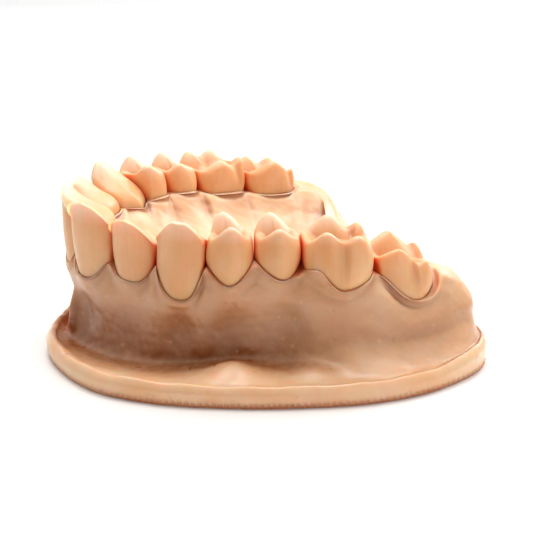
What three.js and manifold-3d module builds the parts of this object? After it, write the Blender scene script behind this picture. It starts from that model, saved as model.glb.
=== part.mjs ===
// An upper dental arch for practice work, standing teeth-up on its flat underside.
// One body carries the gum ridge, the palate, the sulcus and an outer flange. Each of the
// fourteen teeth plugs into its own socket and is held by a small screw from below.
// Millimetres. +X is the patient's right, -Y is the front, +Z is up from the underside.

import * as THREE from "three";
import { mergeVertices } from "three/addons/utils/BufferGeometryUtils.js";
import Module from "manifold-3d";

const wasm = await Module();
wasm.setup();

// ---- driving dimensions -------------------------------------------------------------

const SOCKET_GAP = 0.2; // clear space between a tooth and the wall of its socket
const CONTACT_GAP = 0.1; // from a tooth to the plane that it shares with its neighbour
const SEPTUM_GAP = 0.4; // the same distance lower down, where gum stands between the teeth
const CONTACT_LEVEL = 18; // height at which neighbouring crowns come closest
const SEPTUM_LEVEL = 15;

const STEM_BOTTOM = 6.3;
const SOCKET_FLOOR = 6.0;
const SOCKET_TOP = 26;
const STEM_HALF_WIDTH = 1.7;
const STEM_HALF_DEPTH = 1.9;
const NECK_DROP = 0.7; // the neck lies this far under the lowest point of the gum margin
const TAPER_HEIGHT = 2.2; // height over which the neck narrows to the stem

const BORE_RADIUS = 1.0; // screw hole, in the stem and through the socket floor
const BORE_TOP = 10.2;
const SHANK_RADIUS = 0.8;
const SHANK_TOP = 9.6;
const HEAD_RADIUS = 1.5;
const HEAD_BOTTOM = 3.2;
const HEAD_TOP = 4.45;
const HEX_RADIUS = 0.75;
const HEX_DEPTH = 0.7;
const RECESS_RADIUS = 1.8; // counterbore for the screw's head
const RECESS_TOP = 4.5;

const RIM_WIDTH = 1.7; // raised band along the flange's edge

const TOOTH_SIDES = 16;
const SCREW_SIDES = 8;
const COLUMNS_PER_STATION = 5;
const PROFILE_STEPS = 18;

// Crown profiles from the gum margin (height 0) to the rim of the biting surface (height 1).
// width, outer and inner are shares of the tooth's half width and half depth.
const PROFILES = {
  incisor: {
    height: [0, 0.2, 0.42, 0.62, 0.82, 1],
    width: [0.76, 0.88, 0.95, 1, 1, 0.95],
    outer: [0.84, 0.95, 1.01, 1.03, 1.03, 1],
    inner: [0.92, 1, 1, 0.5, -0.2, -0.62],
    squareness: 2.3,
  },
  canine: {
    height: [0, 0.2, 0.42, 0.62, 0.82, 1],
    width: [0.78, 0.9, 0.97, 1, 0.99, 0.88],
    outer: [0.88, 1, 1.05, 1.07, 1.03, 0.95],
    inner: [0.9, 1, 1, 0.6, 0.1, -0.3],
    squareness: 2.2,
  },
  premolar: {
    height: [0, 0.2, 0.4, 0.6, 0.8, 1],
    width: [0.6, 0.75, 0.89, 0.98, 1, 0.86],
    outer: [0.88, 0.98, 1.02, 1, 0.93, 0.78],
    inner: [0.9, 0.96, 1, 1, 0.94, 0.8],
    squareness: 2.3,
  },
  molar: {
    height: [0, 0.2, 0.4, 0.6, 0.8, 1],
    width: [0.78, 0.88, 0.95, 0.99, 1, 0.92],
    outer: [0.9, 0.99, 1.02, 1, 0.95, 0.83],
    inner: [0.9, 0.96, 1, 1, 0.95, 0.84],
    squareness: 2.7,
  },
};

// A ridge of a biting surface runs from [along, outward, height] to the same at its other
// end. Along is towards the back of the mouth, and heights are measured from the underside.
function canineRidges(front, tip, back) {
  return [
    [-3.0, 2.6, front, -0.7, 3.3, tip],
    [-0.7, 3.3, tip, 0.7, 3.3, tip - 0.1],
    [0.7, 3.3, tip - 0.1, 3.1, 2.6, back],
    [0, 3.3, tip - 0.1, 0, 0.6, tip - 3],
  ];
}

function premolarRidges(outerTip, innerTip, edge) {
  const valley = edge - 0.8;
  return [
    [-2.5, 2.3, edge, 0, 2.9, outerTip],
    [0, 2.9, outerTip, 2.5, 2.3, edge],
    [0, 2.9, outerTip, 0, 0.4, valley],
    [-2.4, -2.3, edge, -0.6, -2.7, innerTip],
    [-0.6, -2.7, innerTip, 2.2, -2.3, edge],
    [-0.6, -2.7, innerTip, 0, -0.3, valley],
    [-2.5, 2.0, edge, -2.3, -2.0, edge],
    [2.5, 2.0, edge, 2.3, -2.0, edge],
  ];
}

// The four tips of a molar lie the distance shift behind the middle of its crown.
function molarRidges(frontOuter, backOuter, frontInner, backInner, drop, shift) {
  const front = Math.min(frontOuter, frontInner) - drop;
  const back = Math.min(backOuter, backInner) - drop;
  const pit = (front + back) / 2 - 0.7;
  const groove = (frontOuter + backOuter) / 2 - drop;
  const rim = [
    [-4.0, 3.0, front, shift - 2.5, 3.9, frontOuter],
    [shift - 2.5, 3.9, frontOuter, shift - 0.5, 3.7, groove],
    [shift - 0.4, 3.7, groove, shift + 1.7, 3.6, backOuter],
    [shift + 1.7, 3.6, backOuter, 4.2, 2.4, back],
    [-3.8, -2.4, front, shift - 1.2, -3.4, frontInner],
    [shift - 1.2, -3.4, frontInner, shift + 1.4, -3.4, backInner - drop],
    [shift + 1.6, -3.4, backInner - drop, shift + 2.8, -3.0, backInner],
    [shift + 2.8, -3.0, backInner, 4.3, -1.6, back],
    [-4.2, 2.8, front, -4.1, -2.2, front],
    [4.2, 2.4, back, 4.3, -1.6, back],
  ];
  const inwards = [
    [shift - 2.5, 3.9, frontOuter, shift - 1.6, 0.8, pit],
    [shift + 1.7, 3.6, backOuter, shift + 1.0, 0.8, pit + 0.3],
    [shift - 1.2, -3.4, frontInner, shift - 1.0, -0.6, pit + 0.1],
    [shift - 1.0, -0.6, pit + 0.1, shift + 1.0, 0.8, pit + 0.3],
  ];
  return [...rim, ...inwards];
}

// The teeth of one side, from the midline back. stem: where the stem's axis stands.
// width and depth: the crown's largest sizes. turn: degrees away from the arch's own
// direction. gum: lowest point of the outer gum margin, which lies at the share zenith of
// the tooth's width and rises beside it with the power scallop. palatal: gum level inside.
// steepness: how fast the ridges of the biting surface fall away to their sides.
const TEETH = [
  {
    name: "central_incisor", kind: "incisor", stem: [3.4, -21.0], turn: 12,
    width: 8.7, depth: 7.6, steepness: 1.5,
    gum: 11.6, zenith: 0.5, scallop: 2.3, palatal: 16.4,
    ridges: [[-3.9, 3.5, 21.9, -0.4, 3.7, 22.4], [-0.4, 3.7, 22.4, 3.7, 3.4, 21.3]],
    left: { ridges: [[-3.9, 3.5, 22.5, -0.4, 3.7, 22.9], [-0.4, 3.7, 22.9, 3.7, 3.4, 21.9]] },
  },
  {
    name: "lateral_incisor", kind: "incisor", stem: [10.3, -17.9], turn: 5,
    width: 7.4, depth: 6.0, steepness: 1.5,
    gum: 12.6, zenith: 0.5, scallop: 2.3, palatal: 16.9,
    ridges: [[-3.2, 2.6, 20.9, 0, 2.8, 21.2], [0, 2.8, 21.2, 3.1, 2.5, 19.9]],
    left: { ridges: [[-3.2, 2.6, 21.9, 0, 2.8, 22.2], [0, 2.8, 22.2, 3.1, 2.5, 21.0]] },
  },
  {
    name: "canine", kind: "canine", stem: [15.9, -12.9], turn: 3,
    width: 8.2, depth: 7.8, steepness: 1.0,
    gum: 11.4, zenith: 0.52, scallop: 2.4, palatal: 16.2,
    ridges: canineRidges(21.1, 22.0, 20.6),
    left: { ridges: canineRidges(21.9, 22.6, 21.3) },
  },
  {
    name: "first_premolar", kind: "premolar", stem: [19.3, -8.2], turn: 12,
    width: 6.8, depth: 9.2, steepness: 1.1,
    gum: 14.0, zenith: 0.5, scallop: 1.4, palatal: 16.8,
    ridges: premolarRidges(21.7, 22.3, 20.0),
    left: { ridges: premolarRidges(22.3, 21.9, 20.4) },
  },
  {
    name: "second_premolar", kind: "premolar", stem: [21.6, -2.3], turn: 4,
    width: 6.6, depth: 9.2, steepness: 1.1,
    gum: 14.8, zenith: 0.5, scallop: 1.4, palatal: 16.8,
    ridges: premolarRidges(21.4, 22.2, 20.0),
    left: { ridges: premolarRidges(21.9, 21.2, 20.0) },
  },
  {
    name: "first_molar", kind: "molar", stem: [24.0, 5.2], turn: -7,
    width: 10.0, depth: 11.2, steepness: 1.0,
    gum: 13.6, zenith: 0.38, scallop: 1.9, palatal: 15.8,
    ridges: molarRidges(21.1, 20.4, 21.6, 20.6, 1.3, 0.7),
    left: { ridges: molarRidges(21.1, 20.8, 20.6, 20.7, 1.3, 0.7) },
  },
  {
    name: "second_molar", kind: "molar", stem: [23.9, 14.4], turn: -14,
    width: 9.5, depth: 10.6, steepness: 1.0,
    gum: 10.6, zenith: 0.6, scallop: 2.0, palatal: 14.6,
    ridges: molarRidges(17.8, 15.8, 18.3, 16.8, 1.0, 1.3),
    left: { gum: 11.8, ridges: molarRidges(19.3, 18.8, 19.8, 18.3, 1.2, 1.3) },
  },
];

// Two more stations carry the ridge round behind the last molar to the back of the palate.
const REAR_STEMS = [[21.4, 23.2], [9.0, 22.0]];

// The body's cross-section at each station, from the front midline to the back. edge: the
// flange's outline on the underside. rim: height of the flange's face. shelf, foot and wall:
// [distance out from the ridge line, height] of the flange's top, the sulcus and the wall.
const SECTIONS = [
  {
    edge: [4.6, -29.8], rim: 3.0, shelf: [6.6, 2.3], foot: [4.9, 1.7], wall: [2.5, 6.8],
    left: { edge: [-3.0, -27.5] },
  },
  {
    edge: [18.0, -27.7], rim: 3.0, shelf: [9.0, 2.4], foot: [6.2, 1.8], wall: [3.1, 6.8],
    left: { edge: [-10.8, -22.9] },
  },
  {
    edge: [25.6, -21.4], rim: 3.0, shelf: [8.6, 2.4], foot: [5.6, 2.0], wall: [3.6, 7.0],
    left: { edge: [-20.2, -16.4] },
  },
  {
    edge: [30.9, -12.8], rim: 2.9, shelf: [8.0, 3.0], foot: [4.9, 2.8], wall: [3.8, 8.2],
    left: { edge: [-27.5, -10.0] },
  },
  {
    edge: [34.2, -4.6], rim: 2.9, shelf: [9.2, 3.2], foot: [6.0, 3.8], wall: [4.5, 9.0],
    left: { edge: [-33.2, -3.2] },
  },
  { edge: [36.5, 5.6], rim: 2.9, shelf: [9.8, 3.2], foot: [8.2, 4.4], wall: [6.4, 9.0] },
  { edge: [35.4, 15.8], rim: 3.0, shelf: [9.2, 3.2], foot: [7.9, 4.2], wall: [6.4, 8.0] },
  {
    edge: [29.2, 26.2], rim: 4.0, shelf: [7.4, 4.6], foot: [6.6, 6.2], wall: [5.0, 9.8],
    left: { foot: [7.2, 6.6], wall: [6.7, 10.0] },
  },
  {
    edge: [13.0, 29.2], rim: 3.4, shelf: [5.4, 4.2], foot: [4.8, 5.2], wall: [4.0, 6.8],
    left: { shelf: [6.4, 4.4], foot: [5.9, 5.6], wall: [5.4, 7.6] },
  },
];
// Gum height between neighbouring teeth, from the midline back to the last two molars.
const PAPILLAE = [15.0, 14.9, 16.0, 16.4, 17.0, 16.9, 15.0];
// The ridge right behind the last tooth, at the two rear stations and at the back midline:
// its height, and how far its shoulders stand out and in from the ridge line.
const BACK_MIDLINE = { height: 8.8, outer: 2.7, inner: 2.6 };
const REAR_SHOULDERS = {
  right: [
    { height: 13.9, outer: 4.2, inner: 4.6 },
    { height: 13.3, outer: 1.9, inner: 4.0 },
    { height: 8.6, outer: 2.6, inner: 2.6 },
    BACK_MIDLINE,
  ],
  left: [
    { height: 14.9, outer: 4.6, inner: 4.6 },
    { height: 14.5, outer: 4.6, inner: 4.0 },
    { height: 10.4, outer: 2.8, inner: 2.6 },
    BACK_MIDLINE,
  ],
};
// Where each section reaches the midline of the palate: [y, height].
const MIDLINE = [
  [-15.5, 15.4], [-13.0, 14.4], [-9.5, 12.6], [-5.5, 10.6], [-1.0, 9.2],
  [4.5, 8.3], [10.5, 7.8], [15.5, 7.7], [19.5, 7.9],
];

const RESIN = new THREE.Color(0xeebf98);
const STEEL = new THREE.Color(0xb9bcc0);

// ---- small helpers ------------------------------------------------------------------

const SIDE_STATIONS = SECTIONS.length;
const STATIONS = 2 * SIDE_STATIONS;
const mix = THREE.MathUtils.lerp;

// The value at x of a line of straight steps through (xs, ys).
function along(xs, ys, x) {
  let i = 0;
  while (i < xs.length - 2 && x > xs[i + 1]) i += 1;
  const share = THREE.MathUtils.clamp((x - xs[i]) / (xs[i + 1] - xs[i]), 0, 1);
  return mix(ys[i], ys[i + 1], share);
}

// A closed smooth curve round the arch through one point for each station. The left half
// mirrors the right, apart from the points given for it, which count from the front.
function closedCurve(rightPoints, leftPoints = []) {
  const right = rightPoints.map(([x, y, z = 0]) => new THREE.Vector3(x, y, z));
  const left = right.map((p, i) => {
    const [x, y] = leftPoints[i] ?? [-p.x, p.y];
    return new THREE.Vector3(x, y, p.z);
  });
  return new THREE.CatmullRomCurve3([...right, ...left.reverse()], true);
}

// Station 0 is the front midline, station 0.5 the first tooth, and so on round the arch.
function atStation(curve, station) {
  return curve.getPoint((((station - 0.5) / STATIONS) % 1 + 1) % 1);
}

// A closed mesh from rings of equal length, with a single point at either end. Seen from
// above, the rings run clockwise, because "along" and "outward" make a left-handed pair.
function closedSkin(firstPoint, rings, lastPoint) {
  const sides = rings[0].length;
  const points = [firstPoint, ...rings.flat(), lastPoint];
  const last = points.length - 1;
  const faces = [];
  for (let k = 0; k < sides; k += 1) {
    const next = (k + 1) % sides;
    faces.push(0, 1 + k, 1 + next);
    for (let r = 0; r < rings.length - 1; r += 1) {
      const low = 1 + r * sides;
      const high = low + sides;
      faces.push(low + k, high + next, low + next, low + k, high + k, high + next);
    }
    faces.push(last - sides + k, last, last - sides + next);
  }
  return indexedGeometry(points, faces);
}

function indexedGeometry(points, faces) {
  const geometry = new THREE.BufferGeometry();
  geometry.setAttribute("position", new THREE.Float32BufferAttribute(points.flat(), 3));
  geometry.setIndex(faces);
  return geometry;
}

function toSolid(geometry) {
  const bare = geometry.clone();
  bare.deleteAttribute("normal");
  bare.deleteAttribute("uv");
  const merged = mergeVertices(bare, 1e-4);
  return new wasm.Manifold(
    new wasm.Mesh({
      numProp: 3,
      vertProperties: new Float32Array(merged.attributes.position.array),
      triVerts: new Uint32Array(merged.index.array),
    }),
  );
}

function toGeometry(solid) {
  const mesh = solid.getMesh();
  const geometry = new THREE.BufferGeometry();
  geometry.setAttribute("position", new THREE.BufferAttribute(mesh.vertProperties, 3));
  geometry.setIndex(new THREE.BufferAttribute(mesh.triVerts, 1));
  const flat = geometry.toNonIndexed();
  flat.computeVertexNormals();
  return flat;
}

// ---- teeth --------------------------------------------------------------------------

const ridgeLine = closedCurve([...TEETH.map((tooth) => tooth.stem), ...REAR_STEMS]);

// The teeth of one side, each with its own directions in plan (back along the arch, and
// outwards) and the upright planes that part it from its neighbours. The left side is
// worked out as a mirror image of itself and turned over at the end.
function teethOf(side) {
  return TEETH.map((base, index) => {
    const before = atStation(ridgeLine, index + 0.49);
    const after = atStation(ridgeLine, index + 0.51);
    const turn = THREE.MathUtils.degToRad(base.turn);
    const angle = Math.atan2(after.y - before.y, after.x - before.x) + turn;
    return {
      ...base,
      ...(side === "left" ? base.left : {}),
      angle,
      back: [Math.cos(angle), Math.sin(angle)],
      out: [Math.sin(angle), -Math.cos(angle)],
      planes: [contactPlane(index), contactPlane(index + 1)],
    };
  });
}

// The plane between tooth index - 1 and tooth index. The first is the midline, and there is
// none behind the last tooth.
function contactPlane(index) {
  if (index === 0) return { point: [0, 0], normal: [1, 0] };
  if (index === TEETH.length) return null;
  const a = TEETH[index - 1];
  const b = TEETH[index];
  const share = a.width / (a.width + b.width);
  const point = [mix(a.stem[0], b.stem[0], share), mix(a.stem[1], b.stem[1], share)];
  const step = [b.stem[0] - a.stem[0], b.stem[1] - a.stem[1]];
  const length = Math.hypot(...step);
  return { point, normal: [step[0] / length, step[1] / length] };
}

// Moves a point that is closer than clearance to a plane, on the side given by side.
function keepClear([x, y, z], plane, side, clearance) {
  if (!plane) return [x, y, z];
  const [nx, ny] = plane.normal;
  const distance = side * ((x - plane.point[0]) * nx + (y - plane.point[1]) * ny);
  const push = side * Math.max(0, clearance - distance);
  return [x + push * nx, y + push * ny, z];
}

// Height of the biting surface: each ridge falls away to both sides.
function bitingHeight(tooth, u, v) {
  const heights = tooth.ridges.map(([u1, v1, z1, u2, v2, z2]) => {
    const lengthSquared = (u2 - u1) ** 2 + (v2 - v1) ** 2;
    const dot = (u - u1) * (u2 - u1) + (v - v1) * (v2 - v1);
    const share = THREE.MathUtils.clamp(dot / lengthSquared, 0, 1);
    const away = Math.hypot(u - mix(u1, u2, share), v - mix(v1, v2, share));
    return mix(z1, z2, share) - tooth.steepness * away;
  });
  return Math.max(...heights);
}

// A ring round a tooth as [along, outward] pairs: a rounded rectangle in plan.
function outline({ halfWidth, outer, inner, squareness }, grow) {
  const middle = (outer - inner) / 2;
  const halfDepth = (outer + inner) / 2 + grow;
  const power = 2 / squareness;
  return Array.from({ length: TOOTH_SIDES }, (_, k) => {
    const angle = (2 * Math.PI * k) / TOOTH_SIDES;
    const c = Math.cos(angle);
    const s = Math.sin(angle);
    const u = (halfWidth + grow) * Math.sign(c) * Math.abs(c) ** power;
    return [u, middle + halfDepth * Math.sign(s) * Math.abs(s) ** power];
  });
}

// The rings of a tooth from the bottom of its stem to the rim of its biting surface. A ring
// lies either at a fixed level or at a share of the way from the neck to the biting surface.
function toothRings(tooth) {
  const profile = PROFILES[tooth.kind];
  const neck = tooth.gum - NECK_DROP;
  const stem = {
    halfWidth: STEM_HALF_WIDTH,
    outer: STEM_HALF_DEPTH,
    inner: STEM_HALF_DEPTH,
    squareness: 2.6,
  };
  const crown = profile.height.map((share, i) => ({
    halfWidth: (tooth.width / 2) * profile.width[i],
    outer: (tooth.depth / 2) * profile.outer[i],
    inner: (tooth.depth / 2) * profile.inner[i],
    squareness: profile.squareness,
    share,
  }));
  const stemTop = Math.max(neck - TAPER_HEIGHT, STEM_BOTTOM + 1);
  return [{ ...stem, level: STEM_BOTTOM }, { ...stem, level: stemTop }, ...crown];
}

// Turns a ring into points in space, held clear of the planes on both sides.
function placeRing(tooth, ring, grow = 0) {
  const plain = outline(ring, 0);
  const neck = tooth.gum - NECK_DROP;
  return outline(ring, grow).map(([u, v], k) => {
    const z = ring.level ?? mix(neck, bitingHeight(tooth, ...plain[k]), ring.share);
    const x = tooth.stem[0] + u * tooth.back[0] + v * tooth.out[0];
    const y = tooth.stem[1] + u * tooth.back[1] + v * tooth.out[1];
    const clearance = along([SEPTUM_LEVEL, CONTACT_LEVEL], [SEPTUM_GAP, CONTACT_GAP], z) - grow;
    const point = keepClear([x, y, z], tooth.planes[0], 1, clearance);
    return keepClear(point, tooth.planes[1], -1, clearance);
  });
}

// A ring of the biting surface, shrunk towards the middle of the rim.
function shrunkRing(rim, scale) {
  const middle = (rim.outer - rim.inner) / 2;
  const half = ((rim.outer + rim.inner) / 2) * scale;
  return {
    ...rim,
    halfWidth: rim.halfWidth * scale,
    outer: half + middle,
    inner: half - middle,
  };
}

// The blind hole that the screw enters, as rings that match the stem's.
function boreRings(tooth) {
  const bore = {
    halfWidth: BORE_RADIUS,
    outer: BORE_RADIUS,
    inner: BORE_RADIUS,
    squareness: 2,
  };
  return [BORE_TOP, STEM_BOTTOM].map((level) => placeRing(tooth, { ...bore, level }));
}

// The crown, its stem and the screw's hole, as one closed skin.
function toothGeometry(tooth) {
  const rings = toothRings(tooth);
  const rim = rings.at(-1);
  const surface = [...rings, shrunkRing(rim, 0.72), shrunkRing(rim, 0.4)];
  const placed = surface.map((ring) => placeRing(tooth, ring));
  const middle = (rim.outer - rim.inner) / 2;
  const [x, y] = tooth.stem;
  const top = [
    x + middle * tooth.out[0],
    y + middle * tooth.out[1],
    bitingHeight(tooth, 0, middle),
  ];
  return closedSkin([x, y, BORE_TOP], [...boreRings(tooth), ...placed], top);
}

// A socket follows its tooth with a gap. It never narrows upwards, so the tooth lifts out.
function socketSolid(tooth) {
  const widest = { halfWidth: 0, outer: 0, inner: 0 };
  const rings = toothRings(tooth).map((ring) => {
    for (const key of Object.keys(widest)) widest[key] = Math.max(widest[key], ring[key]);
    return { ...ring, ...widest };
  });
  const bottom = { ...rings[0], level: SOCKET_FLOOR };
  const top = { ...rings.at(-1), level: SOCKET_TOP };
  const placed = [bottom, ...rings.slice(1), top].map((ring) =>
    placeRing(tooth, ring, SOCKET_GAP),
  );
  const skin = closedSkin([...tooth.stem, SOCKET_FLOOR], placed, [...tooth.stem, SOCKET_TOP]);
  return toSolid(skin);
}

// ---- screws -------------------------------------------------------------------------

// A profile of [radius, height] pairs, from axis to axis, turned about an upright axis.
function turnedGeometry(profile) {
  const points = profile.map(([radius, height]) => new THREE.Vector2(radius, height));
  return new THREE.LatheGeometry(points, SCREW_SIDES).rotateX(Math.PI / 2);
}

function screwGeometry() {
  const chamfer = 0.15;
  const body = turnedGeometry([
    [0, HEAD_BOTTOM],
    [HEAD_RADIUS - chamfer, HEAD_BOTTOM],
    [HEAD_RADIUS, HEAD_BOTTOM + chamfer],
    [HEAD_RADIUS, HEAD_TOP],
    [SHANK_RADIUS, HEAD_TOP],
    [SHANK_RADIUS, SHANK_TOP - 0.4],
    [SHANK_RADIUS - 0.35, SHANK_TOP],
    [0, SHANK_TOP],
  ]);
  const hex = new THREE.CylinderGeometry(HEX_RADIUS, HEX_RADIUS, 2 * HEX_DEPTH, 6);
  hex.rotateX(Math.PI / 2).translate(0, 0, HEAD_BOTTOM);
  return toGeometry(toSolid(body).subtract(toSolid(hex)));
}

function screwHoleSolid([x, y]) {
  const hole = turnedGeometry([
    [0, -1],
    [RECESS_RADIUS, -1],
    [RECESS_RADIUS, RECESS_TOP],
    [BORE_RADIUS, RECESS_TOP],
    [BORE_RADIUS, SOCKET_FLOOR + 0.5],
    [0, SOCKET_FLOOR + 0.5],
  ]);
  return toSolid(hole.translate(x, y, 0));
}

// ---- the body of the arch -----------------------------------------------------------

// One of the sections' [length, height] pairs as a smooth curve round both sides of the arch.
function lengthCurve(key) {
  const right = SECTIONS.map((section) => section[key]);
  const left = SECTIONS.map((section) => section.left?.[key] ?? section[key]);
  return closedCurve(right, left);
}

const edgeLine = closedCurve(
  SECTIONS.map((section) => section.edge),
  SECTIONS.map((section) => section.left?.edge),
);
const rimHeights = SECTIONS.map((section) => [0, section.rim]);
const rimCurve = closedCurve(rimHeights, rimHeights);
const shelfCurve = lengthCurve("shelf");
const footCurve = lengthCurve("foot");
const wallCurve = lengthCurve("wall");
const midlineCurve = closedCurve(MIDLINE, MIDLINE);

// How far a place lies from the zenith of its tooth's margin: 0 there, 1 between teeth.
function fromZenith(tooth, share) {
  const { zenith } = tooth;
  return share < zenith ? 1 - share / zenith : (share - zenith) / (1 - zenith);
}

// The shoulders of the gum at a station: [distance from the ridge line, height] of the outer
// margin, the same of the inner one, and how far out the roots swell the wall below.
function gumShoulders(teeth, rear, station) {
  const last = teeth.length;
  if (station >= last) {
    const places = [last, last + 0.5, last + 1.5, last + 2];
    const value = (key) => along(places, rear.map((end) => end[key]), station);
    const height = value("height");
    const outer = [value("outer"), height];
    return { outer, inner: [value("inner"), height], swell: outer[0] };
  }
  const index = Math.floor(station);
  const tooth = teeth[index];
  const away = fromZenith(tooth, station - index);
  const near = station - index < tooth.zenith ? index : index + 1;
  const neighbour = teeth[Math.min(Math.max(2 * near - index - 1, 0), last - 1)];
  const between = (tooth.depth + neighbour.depth) / 4;
  const full = tooth.depth / 2 + 0.35;
  const outerHeight = PAPILLAE[near] ?? rear[0].height;
  const palatalBetween = (tooth.palatal + neighbour.palatal) / 2;
  return {
    outer: [
      mix(full, between * 0.76, away ** 3),
      mix(tooth.gum, outerHeight, away ** tooth.scallop),
    ],
    inner: [mix(full, between * 0.8, away ** 3), mix(tooth.palatal, palatalBetween, away ** 2)],
    swell: mix(full, between * 0.9, away ** 2),
  };
}

// The line that one section follows, from the flange's edge on the underside to the palate.
// station counts from the front midline on either side; on the left, where turn is -1, the
// section is worked out mirrored.
function sectionLine(teeth, rear, station, turn) {
  const centre = atStation(ridgeLine, station);
  const edge = atStation(edgeLine, turn * station);
  edge.x *= turn;
  const reach = Math.hypot(edge.x - centre.x, edge.y - centre.y);
  const out = [(edge.x - centre.x) / reach, (edge.y - centre.y) / reach];
  const rim = atStation(rimCurve, station).y;
  const shelf = atStation(shelfCurve, turn * station);
  const foot = atStation(footCurve, turn * station);
  const wall = atStation(wallCurve, turn * station);
  const midline = atStation(midlineCurve, station);
  const gum = gumShoulders(teeth, rear, station);
  const band = reach - RIM_WIDTH;
  const shelfOut = Math.min(shelf.x, band - 0.5);
  const footOut = Math.min(foot.x, shelfOut - 0.5);
  const wallOut = Math.min(wall.x, footOut - 0.4);
  const top = Math.max(gum.outer[1], gum.inner[1]);
  const at = (distance, height) =>
    new THREE.Vector3(centre.x + out[0] * distance, centre.y + out[1] * distance, height);
  const inner = at(-gum.inner[0], gum.inner[1]);
  const end = new THREE.Vector3(0, midline.x, midline.y);
  const palate = (share, heightShare) => {
    const point = inner.clone().lerp(end, share);
    return point.setZ(mix(inner.z, end.z, heightShare));
  };
  return [
    at(reach, 0),
    at(reach, rim - 0.6),
    at(reach - 0.4, rim),
    at(band, rim - 0.05),
    at(shelfOut, shelf.y),
    at(footOut, foot.y),
    at(mix(footOut, wallOut, 0.75), mix(foot.y, wall.y, 0.4)),
    at(wallOut, wall.y),
    at(mix(wallOut, gum.swell, 0.75), mix(wall.y, gum.outer[1], 0.65)),
    at(gum.outer[0], gum.outer[1] - 0.3),
    at(gum.outer[0] - 0.5, gum.outer[1]),
    at(0, top),
    at(-gum.inner[0] + 0.5, gum.inner[1]),
    inner,
    palate(0.2, 0.42),
    palate(0.52, 0.84),
    end,
  ];
}

// Half of the body before its sockets are cut: sections from the front midline round to the
// back one, down to a flat underside. The left half is worked out mirrored.
function halfBodyPoints(side) {
  const teeth = teethOf(side);
  const turn = side === "left" ? -1 : 1;
  const columns = SIDE_STATIONS * COLUMNS_PER_STATION;
  const points = [];
  for (let c = 0; c <= columns; c += 1) {
    const station = c / COLUMNS_PER_STATION;
    const keyPoints = sectionLine(teeth, REAR_SHOULDERS[side], station, turn);
    const line = new THREE.CatmullRomCurve3(keyPoints).getPoints(PROFILE_STEPS);
    const onMidline = c === 0 || c === columns;
    line.forEach((p, r) => points.push([onMidline || r === PROFILE_STEPS ? 0 : p.x, p.y, p.z]));
    points.push([0, line.at(-1).y, 0]);
  }
  return points;
}

function plainBodyGeometry() {
  const right = halfBodyPoints("right");
  const left = halfBodyPoints("left").map(([x, y, z]) => [-x, y, z]);
  const rows = PROFILE_STEPS + 2;
  const columns = right.length / rows;
  const faces = [];
  for (const [start, reversed] of [[0, false], [right.length, true]]) {
    for (let c = 0; c < columns - 1; c += 1) {
      for (let r = 0; r < rows; r += 1) {
        const here = start + c * rows;
        const next = here + rows;
        const up = (r + 1) % rows;
        const corners = [here + r, next + r, next + up, here + r, next + up, here + up];
        const onSeam = r === rows - 2; // between the midline's points, which both halves share
        if (!onSeam) faces.push(...(reversed ? corners.reverse() : corners));
      }
    }
  }
  return indexedGeometry([...right, ...left], faces);
}

function archBodyGeometry() {
  let body = toSolid(plainBodyGeometry());
  for (const side of ["right", "left"]) {
    for (const tooth of teethOf(side)) {
      const cutter = socketSolid(tooth).add(screwHoleSolid(tooth.stem));
      body = body.subtract(side === "left" ? cutter.mirror([1, 0, 0]) : cutter);
    }
  }
  return toGeometry(body);
}

// ---- the assembly -------------------------------------------------------------------

function resin() {
  return new THREE.MeshStandardMaterial({ color: RESIN, roughness: 0.45, metalness: 0 });
}

function steel() {
  return new THREE.MeshStandardMaterial({ color: STEEL, roughness: 0.35, metalness: 1 });
}

function sideGroup(side) {
  const group = new THREE.Group();
  for (const tooth of teethOf(side)) {
    const crown = new THREE.Mesh(toothGeometry(tooth), resin());
    crown.name = `${tooth.name}_${side}`;
    const screw = new THREE.Mesh(screwGeometry(), steel());
    screw.name = `screw_${tooth.name}_${side}`;
    screw.position.set(...tooth.stem, 0);
    group.add(crown, screw);
  }
  return group;
}

const typodont = new THREE.Group();
const archBody = new THREE.Mesh(archBodyGeometry(), resin());
archBody.name = "arch_body";
const leftSide = sideGroup("left");
leftSide.scale.x = -1;
typodont.add(archBody, sideGroup("right"), leftSide);

export default typodont;
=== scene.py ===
"""The looks of an upper practice arch: resin gum, fourteen resin teeth and their steel screws.

Every piece is a fine mesh made here by formula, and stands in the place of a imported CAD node.
Lengths in this script are millimetres until a mesh is made, +X is the patient's right, -Y the
front and +Z up from the underside. The left side is worked out mirrored and then turned over.
"""

import math

import bmesh
import bpy
import numpy as np
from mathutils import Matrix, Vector
from mathutils.bvhtree import BVHTree


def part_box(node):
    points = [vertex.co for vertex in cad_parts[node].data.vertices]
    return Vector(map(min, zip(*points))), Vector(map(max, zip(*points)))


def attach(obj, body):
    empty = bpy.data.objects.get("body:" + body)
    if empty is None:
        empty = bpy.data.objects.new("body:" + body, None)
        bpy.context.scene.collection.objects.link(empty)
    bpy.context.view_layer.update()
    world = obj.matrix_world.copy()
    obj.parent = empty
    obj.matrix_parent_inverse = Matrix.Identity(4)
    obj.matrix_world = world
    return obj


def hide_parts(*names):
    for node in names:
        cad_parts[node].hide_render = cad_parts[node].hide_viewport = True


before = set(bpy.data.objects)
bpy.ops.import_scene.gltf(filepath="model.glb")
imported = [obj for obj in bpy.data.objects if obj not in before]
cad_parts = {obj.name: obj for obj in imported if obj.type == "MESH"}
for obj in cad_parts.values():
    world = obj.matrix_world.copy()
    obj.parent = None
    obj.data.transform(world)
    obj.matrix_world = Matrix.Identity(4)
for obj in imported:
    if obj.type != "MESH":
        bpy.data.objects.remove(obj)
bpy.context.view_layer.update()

MM = 0.001
SIDES = ("right", "left")

# ---- sizes of the teeth and screws ----

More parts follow.
